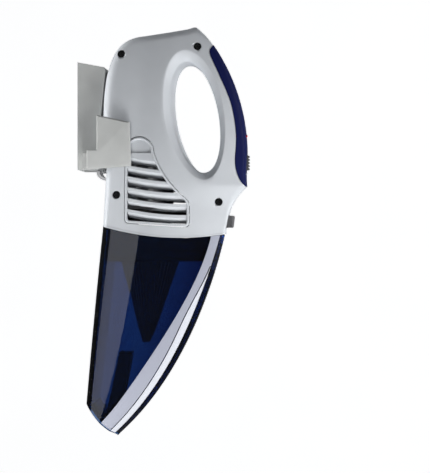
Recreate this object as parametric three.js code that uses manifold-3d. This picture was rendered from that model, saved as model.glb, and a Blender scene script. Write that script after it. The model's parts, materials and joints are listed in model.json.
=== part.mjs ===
// Handheld vacuum hanging nozzle-down in its wall bracket. Millimetres, +Z up.
// The wall is the plane X = 0 and the handle points away from it, along +X.
// The vacuum's middle plane is Y = 0. The origin is the middle of the bracket's back face.
import * as THREE from 'three';
import { mergeVertices } from 'three/addons/utils/BufferGeometryUtils.js';
import Module from 'manifold-3d';

const wasm = await Module();
wasm.setup();
const { Manifold, Mesh: ManifoldMesh } = wasm;

// ---------------------------------------------------------------- driving dimensions
const GAP = 0.3;                 // play between pieces that touch
const WALL = 2.5;                // wall of the side shells and of the dust cup
const BELLY_HALF = 51;           // half width of the body at the seam
const TOP_HALF = 27;             // half width at the top of the body
const FRONT_HALF = 17;           // half width where the sides meet the front face
const FRONT_FACE_HALF = 13;      // half width of the flat front face
const BACK_ROUND = 10;           // rounding between the back and the sides
const TOP_ROUND = 7;
const FRONT_ROUND = FRONT_HALF - FRONT_FACE_HALF;
const APEX = [110, 83.3];        // highest point of the body, X and Z
const TIP = [157.4, -67.3];      // foremost point, at the lower end of the handle cover
const BELLY_START = 60;          // X where the sides start to turn in towards the front

const DEGREE = Math.PI / 180;
const GRIP = { x: 110.3, z: -3, short: 21.6, long: 53, tilt: 10.4 * DEGREE, round: 4.8, endRound: 8.5 };
const SEAM = { x: 97, z: -116, bow: 0.0021 };    // lowest point and bow of the seam between body and cup
const FLOOR_THICK = 3;           // floor of the body above the seam
const FLOOR_HOLE = 12;           // radius of the air passage through the floor

const CUP = { backX: 24.7, backZ: -107.4, backSlope: 0.103, topZ: -101, bottomZ: -306.5 };
const CUP_SIDE = { inset: 0.8, endHalf: 33 };    // step in from the body, and half width at the mouth
const MOUTH = [[8.4, -270.6], [19.5, -287.5], [34.9, -302.2]];   // the slanted lower end of the cup, X and Z

const SHAFT_X = 70;              // motor axis, parallel to Z
const MOTOR = { radius: 18, bottom: -84, top: -36, wall: 1.5 };
const ARMATURE = { radius: 11, bottom: -74, top: -46 };
const FAN = { radius: 29, bottom: -99, top: -90 };
const CELL = { radius: 11, height: 43, bottom: -16, pitch: 23.5, firstX: 41.5 };
const SWITCH = { x: 156.2, bottom: -52, top: -38, half: 5, travel: 6, proud: 3 };
const BUTTON = { x: 146, bottom: -106.5, top: -95, half: 9 };
const CONE = { x: 65.8, top: -136.2, bottom: -215, radius: 29, tipX: 62, tipRadius: 3.5 };
const FLANGE = { top: -129.2, bottom: -135.4, backX: 31 };
const SEAL = { high: 2.3, wide: 6.7, travel: 29 };   // travel: how far down the cup still surrounds it
const DUCT = { topZ: -226, topX: [36.4, 48.8], lowZ: -292, lowX: [22.5, 36.8], half: 12.5, wall: 1.6 };
const HOOK = { y: 8, half: 3 };  // the two spring contacts stand at plus and minus this Y
const PAD = { x: 28.6, half: 4, bottom: -64.5, top: -54.5, thick: 1 };
const CHEEK = { inner: BELLY_HALF + 1.2, thick: 3.6 };
const PLATE_HALF = 29;           // half width of the bracket's back block
const BACK_THICK = 3;            // the bracket's back wall, where the wall screws hold it
const WALL_SCREWS = [-30, 22];   // heights of the two screws in the wall
const SLIVER = 0.04;             // shorter edges are merged away

// ---------------------------------------------------------------- solids and booleans
/** A manifold solid from a closed geometry, turned the right way out. */
function solid(geometry) {
  const bare = new THREE.BufferGeometry();
  bare.setAttribute('position', geometry.getAttribute('position'));
  if (geometry.index) bare.setIndex(geometry.index);
  const merged = mergeVertices(bare, 1e-4);
  const vertProperties = new Float32Array(merged.getAttribute('position').array);
  const corners = Array.from(merged.index.array);
  const build = (flip) => {
    const triangles = [];
    for (let i = 0; i < corners.length; i += 3) {
      const [a, b, c] = corners.slice(i, i + 3);
      if (a !== b && b !== c && c !== a) triangles.push(a, flip ? c : b, flip ? b : c);
    }
    const triVerts = new Uint32Array(triangles);
    return new Manifold(new ManifoldMesh({ numProp: 3, vertProperties, triVerts }));
  };
  const made = build(false);
  return made.volume() > 0 ? made : build(true);
}

/** The finished geometry of a solid, without the slivers that booleans leave. */
function geometryOf(made) {
  const mesh = made.simplify(SLIVER).getMesh();
  const geometry = new THREE.BufferGeometry();
  geometry.setAttribute('position', new THREE.BufferAttribute(new Float32Array(mesh.vertProperties), 3));
  geometry.setIndex(new THREE.BufferAttribute(new Uint32Array(mesh.triVerts), 1));
  return geometry;
}

/** Joins rings of equal length into a closed skin. Open stacks get a flat fan at each end. */
function skin(rings, wrap = false) {
  const size = rings[0].length;
  const positions = rings.flat(2);
  const index = [];
  const last = wrap ? rings.length : rings.length - 1;
  for (let i = 0; i < last; i++) {
    const a = i * size;
    const b = ((i + 1) % rings.length) * size;
    for (let k = 0; k < size; k++) {
      const n = (k + 1) % size;
      index.push(a + k, a + n, b + n, a + k, b + n, b + k);
    }
  }
  if (!wrap) {
    for (const [start, flip] of [[0, true], [(rings.length - 1) * size, false]]) {
      const centre = [0, 1, 2].map((axis) => {
        let sum = 0;
        for (let k = 0; k < size; k++) sum += positions[(start + k) * 3 + axis];
        return sum / size;
      });
      const middle = positions.length / 3;
      positions.push(...centre);
      for (let k = 0; k < size; k++) {
        const n = (k + 1) % size;
        index.push(middle, start + (flip ? n : k), start + (flip ? k : n));
      }
    }
  }
  const geometry = new THREE.BufferGeometry();
  geometry.setAttribute('position', new THREE.BufferAttribute(new Float32Array(positions), 3));
  geometry.setIndex(index);
  return geometry;
}

const point = (pair) => new THREE.Vector2(...pair);

const extruded = (shape, depth, curveSegments) =>
  new THREE.ExtrudeGeometry(shape, { depth, bevelEnabled: false, curveSegments });

/** A slab cut from an outline drawn in X and Z, running from y0 to y1. */
function slab(outline, y0, y1) {
  const shape = outline instanceof THREE.Shape ? outline : new THREE.Shape(outline.map(point));
  const geometry = extruded(shape, y1 - y0, 6);
  return solid(geometry.rotateX(Math.PI / 2).translate(0, y1, 0));
}

function box(x0, x1, y0, y1, z0, z1) {
  const geometry = new THREE.BoxGeometry(x1 - x0, y1 - y0, z1 - z0);
  return solid(geometry.translate((x0 + x1) / 2, (y0 + y1) / 2, (z0 + z1) / 2));
}

/** A turned piece about a line through (x, y) parallel to Z. Its profile is a list of [radius, z]. */
function turned(profile, x, y, sides = 24) {
  const points = profile.map(point);
  return solid(new THREE.LatheGeometry(points, sides).rotateX(Math.PI / 2).translate(x, y, 0));
}

/** The same about a line parallel to Y. Its profile is a list of [radius, y]. */
function turnedAcross(profile, x, z, sides = 16) {
  const points = profile.map(point);
  return solid(new THREE.LatheGeometry(points, sides).translate(x, 0, z));
}

/** The same about a line parallel to X. Its profile is a list of [radius, x]. */
function turnedOut(profile, y, z, sides = 16) {
  const points = profile.map(point);
  return solid(new THREE.LatheGeometry(points, sides).rotateZ(-Math.PI / 2).translate(0, y, z));
}

const mirrored = (made) => made.mirror([0, 1, 0]);

/** The right half of a solid and its mirror image, joined. */
function symmetric(made) {
  const right = made.intersect(box(-300, 300, -300, 0, -500, 300));
  return right.add(mirrored(right));
}

const rod = (radius, low, high) => [[0, low], [radius, low], [radius, high], [0, high]];
const tube = (inner, outer, low, high) =>
  [[inner, low], [outer, low], [outer, high], [inner, high], [inner, low]];

// ---------------------------------------------------------------- body form
const curve = (...points) => new THREE.CubicBezierCurve(...points.map(point));
const straight = (a, b) => new THREE.LineCurve(point(a), point(b));

/** The body's side outline, clockwise from its low back corner: each stretch with its steps and rounding. */
const BODY_OUTLINE = [
  { path: straight([24, -142], [25.5, -112]), steps: 1, round: BACK_ROUND },
  { path: straight([25.5, -112], [29, -52]), steps: 2, round: BACK_ROUND },
  { path: curve([29, -52], [29.4, -42], [26, -34], [25.8, -22]), steps: 3, round: BACK_ROUND },
  { path: straight([25.8, -22], [25.6, -3]), steps: 1, round: BACK_ROUND },
  { path: curve([25.6, -3], [25.4, 28], [29, 54], [41.9, 65.4]), steps: 5, round: BACK_ROUND },
  { path: curve([41.9, 65.4], [47, 69.6], [54, 72.4], [62.9, 73.1]), steps: 2, round: TOP_ROUND },
  { path: curve([62.9, 73.1], [76.3, 75.3], [89.6, 77.8], [103, 80.6]), steps: 3, round: TOP_ROUND },
  { path: curve([103, 80.6], APEX, APEX, [113.6, 80]), steps: 3, round: FRONT_ROUND },
  { path: curve([113.6, 80], [135.4, 61.4], [159, 12], [157.6, -40]), steps: 9, round: FRONT_ROUND },
  { path: curve([157.6, -40], [157.5, -50], [156, -58], TIP), steps: 3, round: FRONT_ROUND },
  { path: curve(TIP, [150, -75], [143.2, -82], [141, -94]), steps: 4, round: FRONT_ROUND },
  { path: straight([141, -94], [138.4, -107.5]), steps: 1, round: FRONT_ROUND },
  { path: straight([138.4, -107.5], [136.2, -117]), steps: 1, round: FRONT_ROUND },
  { path: straight([136.2, -117], [130, -142]), steps: 1, round: FRONT_ROUND },
  { path: straight([130, -142], [24, -142]), steps: 4, round: 1 },
];

const outlinePoints = BODY_OUTLINE.flatMap(({ path, steps, round }) =>
  Array.from({ length: steps }, (_, k) => {
    const place = path.getPoint(k / steps);
    const along = path.getTangent((k + 0.01) / steps);
    return { x: place.x, z: place.y, inX: along.y, inZ: -along.x, round };
  }));

/** Reads x at height z from points that run along a curve. */
function xAt(points, z) {
  for (let i = 1; i < points.length; i++) {
    const [a, b] = [points[i - 1], points[i]];
    if ((a.z - z) * (b.z - z) <= 0 && a.z !== b.z) return a.x + (b.x - a.x) * (z - a.z) / (b.z - a.z);
  }
  return z > points[0].z ? points[0].x : points[points.length - 1].x;
}

const frontEdge = outlinePoints.filter((p) => p.round === FRONT_ROUND && p.x > APEX[0]);
const clamp01 = (value) => Math.min(1, Math.max(0, value));

/** Half width of the body where the sides are widest, at height z. */
function sideHalf(z) {
  const rise = clamp01((z + 60) / 144);
  return BELLY_HALF - (BELLY_HALF - TOP_HALF) * rise * rise;
}

/** Half width of the body at a point of its side. It turns in towards the front face ahead of BELLY_START. */
function halfWidth(x, z) {
  const front = Math.max(xAt(frontEdge, z), BELLY_START + 10);
  const turn = clamp01((x - BELLY_START) / (front - BELLY_START)) ** 1.5;
  const side = sideHalf(z);
  return side - (side - FRONT_HALF) * turn;
}

/** Point of the grip opening's edge in a direction from its middle, moved outwards by `grow`. */
function gripEdge(dx, dz, grow) {
  const along = -dx * Math.sin(GRIP.tilt) + dz * Math.cos(GRIP.tilt);
  const across = dx * Math.cos(GRIP.tilt) + dz * Math.sin(GRIP.tilt);
  const reach = 1 / Math.hypot(across / (GRIP.short + grow), along / (GRIP.long + grow));
  return [GRIP.x + dx * reach, GRIP.z + dz * reach];
}

const OUTSIDE = { every: 1, arc: [0, 45, 90], between: [0.25, 0.5, 0.75] };
const INSIDE = { every: 2, arc: [0, 90], between: [0.35, 0.65] };

/**
 * The whole body as one closed ring around the grip opening, moved inwards by `inset`.
 * Each section runs from the opening's edge to the outline on one side and back on the other.
 */
function bodyForm(inset, detail) {
  const arc = detail.arc.map((degrees) => degrees * DEGREE);
  const { between } = detail;
  const rings = outlinePoints.filter((p, k) => k % detail.every === 0).map((p) => {
    const [outX, outZ] = [p.x + p.inX * inset, p.z + p.inZ * inset];
    const reach = Math.hypot(outX - GRIP.x, outZ - GRIP.z);
    const [dx, dz] = [(outX - GRIP.x) / reach, (outZ - GRIP.z) / reach];
    const [holeX, holeZ] = gripEdge(dx, dz, inset);
    const length = Math.hypot(outX - holeX, outZ - holeZ);
    const deep = Math.max(GRIP.round - inset, 0.6);
    const soft = Math.max(GRIP.round + (GRIP.endRound - GRIP.round) * dz ** 4 - inset, 0.6);
    const round = Math.max(p.round - inset, 0.4);
    const stations = [
      ...arc.map((t) => [Math.min(soft, length * 0.45) * (1 - Math.cos(t)), deep * (1 - Math.sin(t))]),
      ...between.map((t) => [soft + (length - soft - round) * t, 0]),
      ...arc.toReversed().map((t) => [length - round * (1 - Math.cos(t)), round * (1 - Math.sin(t))]),
    ];
    const side = stations.map(([distance, drop]) => {
      const [x, z] = [holeX + dx * distance, holeZ + dz * distance];
      return [x, halfWidth(x, z) - inset - drop, z];
    });
    return [...side, ...side.toReversed().map(([x, y, z]) => [x, -y, z])];
  });
  return symmetric(solid(skin(rings, true)));
}

/** Everything below the seam, or below a line `up` above it. */
function belowSeam(up) {
  const outline = [[-40, -400]];
  for (let x = -40; x <= 200; x += 20) outline.push([x, SEAM.z + SEAM.bow * (x - SEAM.x) ** 2 + up]);
  outline.push([200, -400]);
  return slab(outline, -90, 90);
}

const bodyOuter = bodyForm(0, OUTSIDE).subtract(belowSeam(0));
const bodyInner = bodyForm(WALL, INSIDE).subtract(belowSeam(FLOOR_THICK));
const bodyRoom = bodyForm(WALL + GAP, INSIDE).subtract(belowSeam(FLOOR_THICK + GAP));
const bodyClear = bodyForm(-GAP, OUTSIDE).subtract(belowSeam(-GAP));

// ---------------------------------------------------------------- handle cover
/** The handle cover's rear edge, seen from the side, closed far outside the body. */
function coverOutline(shift) {
  const edge = new THREE.SplineCurve([
    [131, 70], [126, 64], [123.8, 57], [131.9, 38.7], [143.8, 9.7],
    [148.6, -20], [147.6, -46], [151.6, -61], [158.5, -69],
  ].map(([x, z]) => point([x - shift, z])));
  const shape = new THREE.Shape(edge.getPoints(26));
  shape.lineTo(190, -69);
  shape.lineTo(190, 70);
  return shape;
}

const wall = bodyOuter.subtract(bodyInner);
const coverSolid = slab(coverOutline(0), -60, 60);
const coverPocket = slab(coverOutline(GAP), -60, 60);

/** The sunk track that the switch slides in, and the slot for its stem. */
const switchTrack = box(SWITCH.x - GAP, 190, -SWITCH.half - GAP, SWITCH.half + GAP,
  SWITCH.bottom - GAP, SWITCH.top + SWITCH.travel + GAP);
const stemSlot = box(140, 190, -2, 2, SWITCH.bottom + 1.5, SWITCH.top + SWITCH.travel - 2);
const LAMP = { z: -19.5, radius: 1.3 };
const CHARGE_LENS = { z: -55.5, radius: 1 };

function handleCover() {
  return wall.intersect(coverSolid)
    .subtract(switchTrack)
    .subtract(stemSlot)
    .subtract(turnedOut(rod(LAMP.radius + GAP, 140, 190), 0, LAMP.z))
    .subtract(turnedOut(rod(CHARGE_LENS.radius + GAP, 140, 190), 0, CHARGE_LENS.z));
}

// ---------------------------------------------------------------- vent grilles
const VENT = {
  left: 46.7, right: 105.8, low: -102.8, drop: 3.4, corner: 4, topX: 60.3, topZ: -35.8, topRadius: 13.4,
};
const SLOT = { first: -53.2, pitch: 10.1, count: 6, height: 3.4, bow: 0.0022, middle: 100, margin: 2.6 };

/** The grille's outline: straight back edge, round top, sloping front edge. */
function ventOutline(shrink) {
  const { left, right, low, drop, topX, topZ, corner } = VENT;
  const radius = VENT.topRadius - shrink;
  const shape = new THREE.Shape();
  shape.moveTo(left + shrink, low + corner + shrink);
  shape.quadraticCurveTo(left + shrink, low + shrink, left + corner + shrink, low + shrink);
  shape.lineTo(right - corner - shrink, low - drop + shrink);
  shape.quadraticCurveTo(right - shrink, low - drop + shrink, right - shrink, low - drop + corner + shrink);
  shape.lineTo(right - shrink, -86);
  shape.quadraticCurveTo(right - shrink, -81.5, right - 4 - shrink, -78.5);
  shape.quadraticCurveTo(81 - shrink, -60, topX + radius, topZ);
  shape.absarc(topX, topZ, radius, 0, Math.PI, false);
  return shape;
}

/** One louvre slot, bowed like the seam, that stops short of the grille's outline. */
function ventSlot(level) {
  const middle = SLOT.first - SLOT.pitch * level;
  const edge = (up) => [VENT.left, (VENT.left + VENT.right) / 2, VENT.right]
    .map((x) => [x, middle + SLOT.bow * (x - SLOT.middle) ** 2 + up]);
  return slab([...edge(-SLOT.height / 2), ...edge(SLOT.height / 2).reverse()], -60, -20)
    .intersect(slab(ventOutline(SLOT.margin), -60, -20));
}

function rightGrille() {
  let grille = wall.intersect(slab(ventOutline(GAP), -60, -20));
  for (let level = 0; level < SLOT.count; level++) grille = grille.subtract(ventSlot(level));
  return grille;
}

// ---------------------------------------------------------------- side shells and case screws
/** The room of a contact pad, grown by `play`. */
const padSpace = (side, play) => box(
  PAD.x - 3 * play, PAD.x + PAD.thick + play,
  side * HOOK.y - PAD.half - play, side * HOOK.y + PAD.half + play,
  PAD.bottom - play, PAD.top + play);

const SCREW = { recess: 3.6, recessDepth: 5, shank: 1.6, boss: 5.4, head: 3.2, headHigh: 2 };
const SCREW_PLACES = {
  top_back: [41.9, 55.6],
  top_front: [112.2, 63.6],
  low_back: [39.2, -76.3],
  low_front: [132.3, -82.4],
};
const ASSEMBLY_Y = 12;           // the far ends of the screws

/** Y of a screw's seat: the floor of its recess in the right shell. */
const seatY = ([x, z]) => -(halfWidth(x, z) - SCREW.recessDepth);

/** What is cut from both shells: the cover, the grilles, the button, the contact pads and the air passage. */
function shellCuts() {
  const button = box(120, 160, -BUTTON.half - GAP, BUTTON.half + GAP, BUTTON.bottom - GAP, BUTTON.top + GAP);
  return coverPocket
    .add(slab(ventOutline(0), -60, -20))
    .add(slab(ventOutline(0), 20, 60))
    .add(button)
    .add(padSpace(-1, GAP))
    .add(padSpace(1, GAP))
    .add(turned(rod(FLOOR_HOLE, -125, -100), SHAFT_X, 0));
}

/** Right shell: carries the screws' recesses and bosses that end at the middle plane. */
function rightShell() {
  let shell = wall.subtract(shellCuts());
  for (const place of Object.values(SCREW_PLACES)) {
    const seat = seatY(place);
    shell = shell.add(turnedAcross(rod(SCREW.boss, seat - 3, -1), ...place));
    shell = shell.subtract(turnedAcross(rod(SCREW.recess, -70, seat), ...place));
    shell = shell.subtract(turnedAcross(rod(SCREW.shank + GAP, -70, 5), ...place));
  }
  return shell.intersect(box(-10, 200, -90, -GAP / 2, -200, 200));
}

/** Left shell: the screws cut their threads in blind bosses. */
function leftShell() {
  let shell = wall.subtract(shellCuts());
  for (const place of Object.values(SCREW_PLACES)) {
    const end = halfWidth(...place) - 1.5;
    shell = shell.add(turnedAcross(rod(SCREW.boss, 1, end), ...place));
    shell = shell.subtract(turnedAcross(rod(SCREW.shank + GAP, -5, ASSEMBLY_Y + 1), ...place));
  }
  return shell.intersect(box(-10, 200, GAP / 2, 90, -200, 200));
}

function caseScrew(place) {
  const seat = seatY(place) - GAP;
  const profile = [
    [0, seat - 0.8], [1.3, seat - 0.8], [1.3, seat - SCREW.headHigh], [SCREW.head, seat - SCREW.headHigh],
    [SCREW.head, seat], [SCREW.shank, seat], [SCREW.shank, ASSEMBLY_Y - 1], [0, ASSEMBLY_Y],
  ];
  return turnedAcross(profile, ...place, 16);
}

// ---------------------------------------------------------------- dust cup
const spine = curve([137.2, -110], [127.2, -157], [97, -250], [34.5, -304])
  .getPoints(24)
  .map((p) => ({ x: p.x, z: p.y }));
const cupBack = (z) => CUP.backX + CUP.backSlope * (z - CUP.backZ);
const smooth = (t) => t * t * (3 - 2 * t);

const SPINE = { edgeHalf: 14.5, flatHalf: 8 };   // the rounded strip along the cup's front

/** How far down the cup a height is: 0 at the seam, 1 near the mouth. */
const cupFade = (z) => clamp01((-113 - z) / 150);

/** X of the silver trim's rear edge at height z. */
const trimRear = (z) => xAt(spine, z) - (11 + 16.5 * smooth(cupFade(z)));

/** X of the edge between the trim and the blue strip along the cup's front. */
const facetEdge = (z) => xAt(spine, z) - 3.2 - 2.1 * clamp01((-113 - z) / 60);

/** X of the groove between the trim's wide facet and its narrow one, which starts at nothing near the top. */
const grooveEdge = (z) => facetEdge(z) - 0.2 - 6.4 * smooth(clamp01((-135 - z) / 65));

/** Half of a level section through the cup at height z, from the back edge to the spine, as [x, y]. */
function cupHalfSection(z, inset) {
  const back = cupBack(z) + CUP_SIDE.inset + inset;
  const front = xAt(spine, z) - inset;
  const taper = clamp01((-113 - z) / 180) ** 1.7;
  const side = BELLY_HALF - CUP_SIDE.inset - (BELLY_HALF - CUP_SIDE.endHalf) * taper - inset;
  const trimX = trimRear(z) - inset;
  const grooveX = grooveEdge(z) - inset;
  const facetX = facetEdge(z) - inset;
  const turnStart = back + (front - back) * 0.32;
  const half = (x) => {
    const turn = clamp01((x - turnStart) / (front - turnStart)) ** 1.5;
    return side - (side - SPINE.edgeHalf + inset) * turn;
  };
  const round = Math.max(BACK_ROUND * (1 - 0.4 * cupFade(z)) - inset, 1);
  const corner = [90, 60, 30, 0].map((degrees) => degrees * DEGREE)
    .map((t) => [back + round * (1 - Math.sin(t)), side - round * (1 - Math.cos(t))]);
  const flank = [0.3, 0.55, 0.8].map((t) => turnStart + (trimX - turnStart) * t).map((x) => [x, half(x)]);
  return [...corner, [turnStart, side], ...flank, [trimX, half(trimX)], [grooveX, half(grooveX)],
    [facetX, SPINE.edgeHalf - inset], [front, SPINE.flatHalf - inset * 0.5]];
}

const CUP_STEPS = 12;
const CUP_LEVELS = Array.from({ length: CUP_STEPS + 1 }, (_, k) =>
  CUP.topZ + (CUP.bottomZ - CUP.topZ) * k / CUP_STEPS);

/** The cup as a closed solid, moved inwards by `inset`, a little longer than the cup at both ends. */
function cupForm(inset) {
  const rings = CUP_LEVELS.map((z) => {
    const half = cupHalfSection(z, inset);
    return [...half.map(([x, y]) => [x, y, z]), ...half.toReversed().map(([x, y]) => [x, -y, z])];
  });
  return symmetric(solid(skin(rings)));
}

/** Everything beyond the slanted mouth, or beyond a line `up` the cup from it. */
function beyondMouth(up) {
  const [low, middle, high] = MOUTH.map(([x, z]) => new THREE.Vector2(x + up * 0.79, z + up * 0.61));
  const across = new THREE.SplineCurve([low, middle, high]).getPoints(6);
  const run = new THREE.Vector2().subVectors(high, low).normalize().multiplyScalar(80);
  const start = low.clone().sub(run);
  const end = high.clone().add(run);
  const away = new THREE.Vector2(-150, -60);
  const outline = [start, ...across, end, end.clone().add(away), start.clone().add(away)];
  return slab(outline.map((p) => [p.x, p.y]), -80, 80);
}

function dustCup() {
  return cupForm(0).subtract(cupForm(WALL)).subtract(beyondMouth(0)).subtract(bodyClear);
}

const TRIM_THICK = 1.1;
const TRIM_END = 1.5;            // the trim stops this far from the mouth

/** The silver trim on the right: a strip over the cup's two front facets, from the seam to the mouth. */
function rightTrim() {
  const rear = CUP_LEVELS.map((z) => [trimRear(z), z]);
  const front = CUP_LEVELS.map((z) => [facetEdge(z), z]);
  const strip = [...rear, ...front.reverse()];
  return cupForm(-GAP - TRIM_THICK).subtract(cupForm(-GAP))
    .intersect(slab(strip, -60, -SPINE.edgeHalf - GAP))
    .subtract(beyondMouth(TRIM_END))
    .subtract(bodyClear);
}

/** The intake duct: a slanting box tube from the mouth, with a collar that closes the mouth around it. */
function intakeDuct() {
  const run = (inset, endOver) => {
    const [t0, t1] = [DUCT.topX[0] + inset, DUCT.topX[1] - inset];
    const [l0, l1] = [DUCT.lowX[0] + inset, DUCT.lowX[1] - inset];
    const lean = (DUCT.topX[0] - DUCT.lowX[0]) / (DUCT.topZ - DUCT.lowZ) * endOver;
    return [[t0 + lean, DUCT.topZ + endOver], [t1 + lean, DUCT.topZ + endOver],
      [l1 - lean, DUCT.lowZ - endOver], [l0 - lean, DUCT.lowZ - endOver]];
  };
  const tubeOuter = slab(run(0, 0), -DUCT.half, DUCT.half);
  const tubeInner = slab(run(DUCT.wall, 30), -DUCT.half + DUCT.wall, DUCT.half - DUCT.wall);
  const collar = cupForm(WALL + 4 * GAP).intersect(beyondMouth(4)).subtract(beyondMouth(1.5));
  return tubeOuter.add(collar).subtract(tubeInner).subtract(beyondMouth(1.5));
}

function intakeFlap() {
  const [x0, x1] = DUCT.topX;
  const low = DUCT.topZ + GAP;
  const plate = box(x0 + 0.5, x1, -DUCT.half + 0.5, DUCT.half - 0.5, low, low + 1.2);
  return plate.add(turnedAcross(rod(1.1, -DUCT.half + 0.5, DUCT.half - 0.5), x0 + 0.9, low + 1.1, 12));
}

// ---------------------------------------------------------------- filter
/** The plate that fills the top of the cup, with a skirt and a neck up to the body's floor. */
function filterFrame() {
  const level = (low, high) => box(FLANGE.backX, 200, -60, 60, low, high);
  const flange = cupForm(WALL + 2.6).intersect(level(FLANGE.bottom, FLANGE.top));
  const skirt = cupForm(WALL + 6).subtract(cupForm(WALL + 8)).intersect(level(FLANGE.top - 1, -90));
  return flange
    .add(skirt)
    .add(turned(rod(CONE.radius + 3, FLANGE.bottom, -100), CONE.x, 0, 32))
    .subtract(turned(rod(CONE.radius, FLANGE.bottom - 5, -90), CONE.x, 0, 32))
    .subtract(bodyClear);
}

/** The pleated filter bag: a cone open at the top, its tip nearer the back. */
function filterCone() {
  const level = (z, radius, x, inset) => Array.from({ length: 32 }, (_, k) => {
    const angle = k / 32 * 2 * Math.PI;
    const pleat = radius > 10 ? (k % 2 ? -1.2 : 0) : 0;
    return [x + (radius + pleat - inset) * Math.cos(angle), (radius + pleat - inset) * Math.sin(angle), z];
  });
  const cone = (inset, over) => solid(skin([
    level(CONE.top + over, CONE.radius - 0.6, CONE.x, inset),
    level(CONE.bottom + 12 + inset, CONE.radius * 0.28, CONE.tipX + 1, inset),
    level(CONE.bottom + inset, CONE.tipRadius, CONE.tipX, inset),
  ]));
  return cone(0, 0.5).subtract(cone(1.4, 6));
}

/** The seal: a soft ring under the plate's edge. The cup clears it on its way down. */
function filterSeal() {
  const top = FLANGE.bottom - GAP;
  let seal = box(FLANGE.backX - 0.5, 200, -60, 60, top - SEAL.high, top);
  for (const share of [0, 0.35, 0.7, 1]) {
    seal = seal.intersect(cupForm(WALL + GAP).translate(0, 0, -SEAL.travel * share));
  }
  return seal.subtract(cupForm(WALL + GAP + SEAL.wide));
}

// ---------------------------------------------------------------- motor, fan and battery
/** The motor's steel can: thin walls, with a bearing boss and the shaft's bore at each end. */
function motorCan() {
  const { radius, bottom, top, wall: thick } = MOTOR;
  const [room, low, high] = [radius - thick, bottom + thick, top - thick];
  return turned([
    [2.2, bottom - 2], [6, bottom - 2], [6, bottom], [radius - 1, bottom], [radius, bottom + 1],
    [radius, top - 1], [radius - 1, top], [5, top], [5, top + 2], [2.2, top + 2],
    [2.2, high], [room, high], [room, low], [2.2, low], [2.2, bottom - 2],
  ], SHAFT_X, 0);
}

/** The motor's shaft with the armature that turns inside the can. */
const motorShaft = () => turned([
  [0, FAN.bottom - 2], [1.9, FAN.bottom - 2], [1.9, ARMATURE.bottom], [ARMATURE.radius, ARMATURE.bottom],
  [ARMATURE.radius, ARMATURE.top], [1.9, ARMATURE.top], [1.9, MOTOR.top + 3], [0, MOTOR.top + 3],
], SHAFT_X, 0);

/** The plate that holds the motor: cut to the room inside the shells. */
function motorMount() {
  const plate = box(20, 160, -60, 60, MOTOR.bottom - 5.5, MOTOR.bottom - 2.5);
  let mount = plate.intersect(bodyRoom).subtract(turned(rod(7, -120, 0), SHAFT_X, 0));
  for (const x of [SHAFT_X - 12, SHAFT_X + 12]) mount = mount.subtract(turned(rod(1.6, -120, 0), x, 0, 12));
  for (const place of Object.values(SCREW_PLACES)) {
    mount = mount.subtract(turnedAcross(rod(SCREW.boss + GAP, -60, 60), ...place));
  }
  return mount.subtract(turnedOut(rod(20, 108, 200), 0, MOTOR.bottom - 4, 20));
}

/** A centrifugal impeller: a disc, a hub with the shaft's bore, and curved blades. */
function fanImpeller() {
  const { radius, bottom, top } = FAN;
  let fan = turned([
    [2.2, bottom], [5, bottom], [5, top - 1.6], [radius, top - 1.6], [radius, top], [2.2, top], [2.2, bottom],
  ], SHAFT_X, 0, 32);
  const blades = 7;
  const blade = new THREE.Shape();
  blade.moveTo(9, -0.7);
  blade.quadraticCurveTo(20, 1, radius - 1, 9);
  blade.lineTo(radius - 2, 10);
  blade.quadraticCurveTo(19, 2.6, 9, 0.7);
  for (let k = 0; k < blades; k++) {
    const upright = extruded(blade, top - 1 - bottom, 4).rotateZ(k / blades * 360 * DEGREE);
    fan = fan.add(solid(upright.translate(SHAFT_X, 0, bottom)));
  }
  return fan;
}

/** The fan's housing: a ring wall with a floor that has the air inlet. */
const fanHousing = () => {
  const [inner, outer] = [FAN.radius + 2, FAN.radius + 4];
  const [low, floor, top] = [FAN.bottom - 3, FAN.bottom - 1.5, FAN.top - 1];
  const inlet = FLOOR_HOLE;
  return turned([
    [inlet, low], [outer, low], [outer, top], [inner, top], [inner, floor], [inlet, floor], [inlet, low],
  ], SHAFT_X, 0, 32);
};

const CELL_PLACES = [0, 1].flatMap((row) =>
  [-1, 1].map((side) => [CELL.firstX + row * CELL.pitch, side * CELL.pitch / 2]));

/** A battery cell with its raised pole. */
const batteryCell = ([x, y]) => {
  const { radius, bottom, height } = CELL;
  const top = bottom + height;
  return turned([
    [0, bottom], [radius, bottom], [radius, top - 1], [radius - 1, top], [3, top], [3, top + 1], [0, top + 1],
  ], x, y, 20);
};

/** The tray under the cells, with a low wall between them. */
function batteryTray() {
  const [x0, x1] = [CELL.firstX - 12.5, CELL.firstX + CELL.pitch + 12.5];
  const half = CELL.pitch / 2 + 12.5;
  let tray = box(x0, x1, -half, half, CELL.bottom - 3, CELL.bottom + 8);
  for (const [x, y] of CELL_PLACES) {
    tray = tray.subtract(turned(rod(CELL.radius + GAP, CELL.bottom - GAP, CELL.bottom + 20), x, y, 20));
  }
  return tray;
}

// ---------------------------------------------------------------- handle: switch, lamps and circuit board
/** The slide switch's cap with grip ribs, and the stem through the cover's slot. */
function switchSlider() {
  const top = SWITCH.x + SWITCH.proud;
  let cap = box(SWITCH.x, top, -SWITCH.half, SWITCH.half, SWITCH.bottom, SWITCH.top);
  const ribs = 4;
  const pitch = (SWITCH.top - SWITCH.bottom - 2.4) / ribs;
  for (let k = 0; k <= ribs; k++) {
    const z = SWITCH.bottom + 1.2 + pitch * k;
    const profile = [[top - 0.2, z - 1], [top + 1.2, z - 0.5], [top + 1.2, z + 0.5], [top - 0.2, z + 1]];
    cap = cap.add(slab(profile, -SWITCH.half, SWITCH.half));
  }
  const middle = (SWITCH.bottom + SWITCH.top) / 2 - 2;
  return cap.add(box(153.5, SWITCH.x + 1, -1.5, 1.5, middle - 3, middle + 1));
}

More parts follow.
